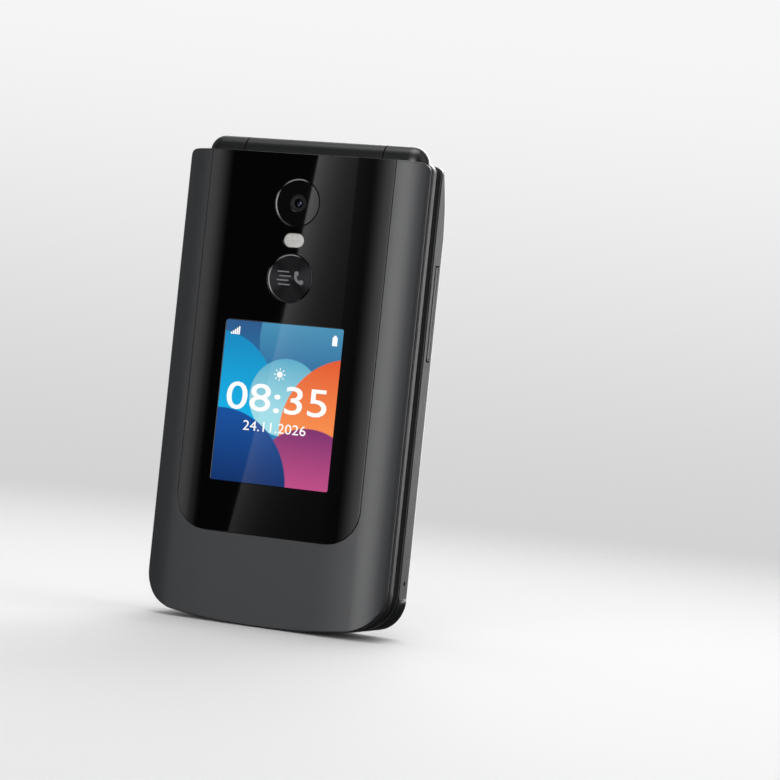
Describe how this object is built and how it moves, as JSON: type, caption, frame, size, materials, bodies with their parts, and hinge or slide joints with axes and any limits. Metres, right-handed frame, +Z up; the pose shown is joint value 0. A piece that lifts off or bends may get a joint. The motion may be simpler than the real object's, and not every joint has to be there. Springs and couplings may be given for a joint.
{
  "type": "flip phone",
  "caption": "Closed flip phone with a lid that opens on a barrel hinge, an outer display, a camera, a gloss front panel and a keypad inside.",
  "frame": {"origin": "middle of the closed phone's bounding box, on the lowest plane, under its bottom end", "axes": "+Z up to the hinge, -Y out of the lid's face, +X to the right as the closed lid is read"},
  "size_m": [0.0576, 0.0188, 0.1064],
  "materials": {
    "shell_graphite": "fine matt graphite lacquer",
    "side_graphite": "satin graphite moulding",
    "gloss_black": "clear gloss over black",
    "matt_black": "matt moulding",
    "window_black": "gloss black window",
    "lens_glass": "coated lens",
    "flash_white": "frosted lens",
    "display": "lit picture under a clear cover",
    "display_glass": "clear cover over a dark panel",
    "key_black": "satin key tops",
    "silicone": "dark silicone",
    "board_green": "solder mask",
    "flex_amber": "polyimide film",
    "battery_black": "battery case",
    "steel": "plain steel",
    "cast_zinc": "cast metal"
  },
  "bodies": {
    "base": {"rear_cover": "shell_graphite", "rear_panel": "gloss_black", "speaker_mesh": "matt_black", "loudspeaker": "matt_black", "base_frame": "side_graphite", "keypad_bezel": "matt_black", "keypad_mat": "silicone", "main_board": "board_green", "shield_can": "steel", "battery": "battery_black", "usb_port": "steel", "headset_jack": "matt_black", "vibration_motor": "steel", "base_screws": "steel", "hinge_shaft": "steel", "hinge_bush": "steel"},
    "lid": {"lid_shell": "shell_graphite", "front_panel": "gloss_black", "camera_window": "window_black", "camera_lens": "lens_glass", "camera_module": "matt_black", "flash_lens": "flash_white", "outer_display": "display", "lid_frame": "side_graphite", "lid_bezel": "matt_black", "display_glass": "display_glass", "main_display": "display", "earpiece_mesh": "matt_black", "receiver": "steel", "lid_bumpers": "silicone", "lid_board": "board_green", "lid_flex": "flex_amber", "lid_screws": "steel", "hinge_cartridge": "cast_zinc", "hinge_spring": "steel"},
    "key_1_body": {"key_1": "key_black"},
    "key_2_body": {"key_2": "key_black"},
    "key_3_body": {"key_3": "key_black"},
    "key_4_body": {"key_4": "key_black"},
    "key_5_body": {"key_5": "key_black"},
    "key_6_body": {"key_6": "key_black"},
    "key_7_body": {"key_7": "key_black"},
    "key_8_body": {"key_8": "key_black"},
    "key_9_body": {"key_9": "key_black"},
    "key_star_body": {"key_star": "key_black"},
    "key_0_body": {"key_0": "key_black"},
    "key_hash_body": {"key_hash": "key_black"},
    "send_key_body": {"send_key": "key_black"},
    "clear_key_body": {"clear_key": "key_black"},
    "end_key_body": {"end_key": "key_black"},
    "left_soft_key_body": {"left_soft_key": "key_black"},
    "right_soft_key_body": {"right_soft_key": "key_black"},
    "message_key_body": {"message_key": "key_black"},
    "menu_key_body": {"menu_key": "key_black"},
    "nav_carrier_body": {"nav_carrier": "silicone"},
    "nav_ring_body": {"nav_ring": "key_black"},
    "ok_key_body": {"ok_key": "key_black"},
    "round_key_body": {"round_key": "gloss_black"},
    "volume_key_body": {"volume_key": "side_graphite"}
  },
  "joints": [
    {"name": "lid_hinge", "type": "hinge", "parent": "base", "child": "lid", "pos_m": [0, -0.00095, 0.1028], "axis": [-1, 0, 0], "range_deg": [0, 160]},
    {"name": "key_1_press", "type": "slide", "parent": "base", "child": "key_1_body", "axis": [0, 1, 0], "range_m": [0, 0.00025], "stiffness_N_per_m": 500},
    {"name": "key_2_press", "type": "slide", "parent": "base", "child": "key_2_body", "axis": [0, 1, 0], "range_m": [0, 0.00025], "stiffness_N_per_m": 500},
    {"name": "key_3_press", "type": "slide", "parent": "base", "child": "key_3_body", "axis": [0, 1, 0], "range_m": [0, 0.00025], "stiffness_N_per_m": 500},
    {"name": "key_4_press", "type": "slide", "parent": "base", "child": "key_4_body", "axis": [0, 1, 0], "range_m": [0, 0.00025], "stiffness_N_per_m": 500},
    {"name": "key_5_press", "type": "slide", "parent": "base", "child": "key_5_body", "axis": [0, 1, 0], "range_m": [0, 0.00025], "stiffness_N_per_m": 500},
    {"name": "key_6_press", "type": "slide", "parent": "base", "child": "key_6_body", "axis": [0, 1, 0], "range_m": [0, 0.00025], "stiffness_N_per_m": 500},
    {"name": "key_7_press", "type": "slide", "parent": "base", "child": "key_7_body", "axis": [0, 1, 0], "range_m": [0, 0.00025], "stiffness_N_per_m": 500},
    {"name": "key_8_press", "type": "slide", "parent": "base", "child": "key_8_body", "axis": [0, 1, 0], "range_m": [0, 0.00025], "stiffness_N_per_m": 500},
    {"name": "key_9_press", "type": "slide", "parent": "base", "child": "key_9_body", "axis": [0, 1, 0], "range_m": [0, 0.00025], "stiffness_N_per_m": 500},
    {"name": "key_star_press", "type": "slide", "parent": "base", "child": "key_star_body", "axis": [0, 1, 0], "range_m": [0, 0.00025], "stiffness_N_per_m": 500},
    {"name": "key_0_press", "type": "slide", "parent": "base", "child": "key_0_body", "axis": [0, 1, 0], "range_m": [0, 0.00025], "stiffness_N_per_m": 500},
    {"name": "key_hash_press", "type": "slide", "parent": "base", "child": "key_hash_body", "axis": [0, 1, 0], "range_m": [0, 0.00025], "stiffness_N_per_m": 500},
    {"name": "send_key_press", "type": "slide", "parent": "base", "child": "send_key_body", "axis": [0, 1, 0], "range_m": [0, 0.00025], "stiffness_N_per_m": 500},
    {"name": "clear_key_press", "type": "slide", "parent": "base", "child": "clear_key_body", "axis": [0, 1, 0], "range_m": [0, 0.00025], "stiffness_N_per_m": 500},
    {"name": "end_key_press", "type": "slide", "parent": "base", "child": "end_key_body", "axis": [0, 1, 0], "range_m": [0, 0.00025], "stiffness_N_per_m": 500},
    {"name": "left_soft_key_press", "type": "slide", "parent": "base", "child": "left_soft_key_body", "axis": [0, 1, 0], "range_m": [0, 0.00025], "stiffness_N_per_m": 500},
    {"name": "right_soft_key_press", "type": "slide", "parent": "base", "child": "right_soft_key_body", "axis": [0, 1, 0], "range_m": [0, 0.00025], "stiffness_N_per_m": 500},
    {"name": "message_key_press", "type": "slide", "parent": "base", "child": "message_key_body", "axis": [0, 1, 0], "range_m": [0, 0.00025], "stiffness_N_per_m": 500},
    {"name": "menu_key_press", "type": "slide", "parent": "base", "child": "menu_key_body", "axis": [0, 1, 0], "range_m": [0, 0.00025], "stiffness_N_per_m": 500},
    {"name": "ok_key_press", "type": "slide", "parent": "base", "child": "ok_key_body", "axis": [0, 1, 0], "range_m": [0, 0.00025], "stiffness_N_per_m": 500},
    {"name": "nav_tilt_fore", "type": "hinge", "parent": "base", "child": "nav_carrier_body", "pos_m": [0, 0.00099, 0.0732], "axis": [1, 0, 0], "range_deg": [-1, 1], "stiffness_Nm_per_rad": 0.1},
    {"name": "nav_tilt_side", "type": "hinge", "parent": "nav_carrier_body", "child": "nav_ring_body", "pos_m": [0, 0.00045, 0.0732], "axis": [0, 0, 1], "range_deg": [-1, 1], "stiffness_Nm_per_rad": 0.1},
    {"name": "round_key_press", "type": "slide", "parent": "lid", "child": "round_key_body", "axis": [0, 1, 0], "range_m": [0, 0.0003], "stiffness_N_per_m": 500},
    {"name": "volume_rock", "type": "hinge", "parent": "base", "child": "volume_key_body", "pos_m": [0.0275, 0.00315, 0.07095], "axis": [0, -1, 0], "range_deg": [-1.5, 1.5], "stiffness_Nm_per_rad": 0.1}
  ]
}
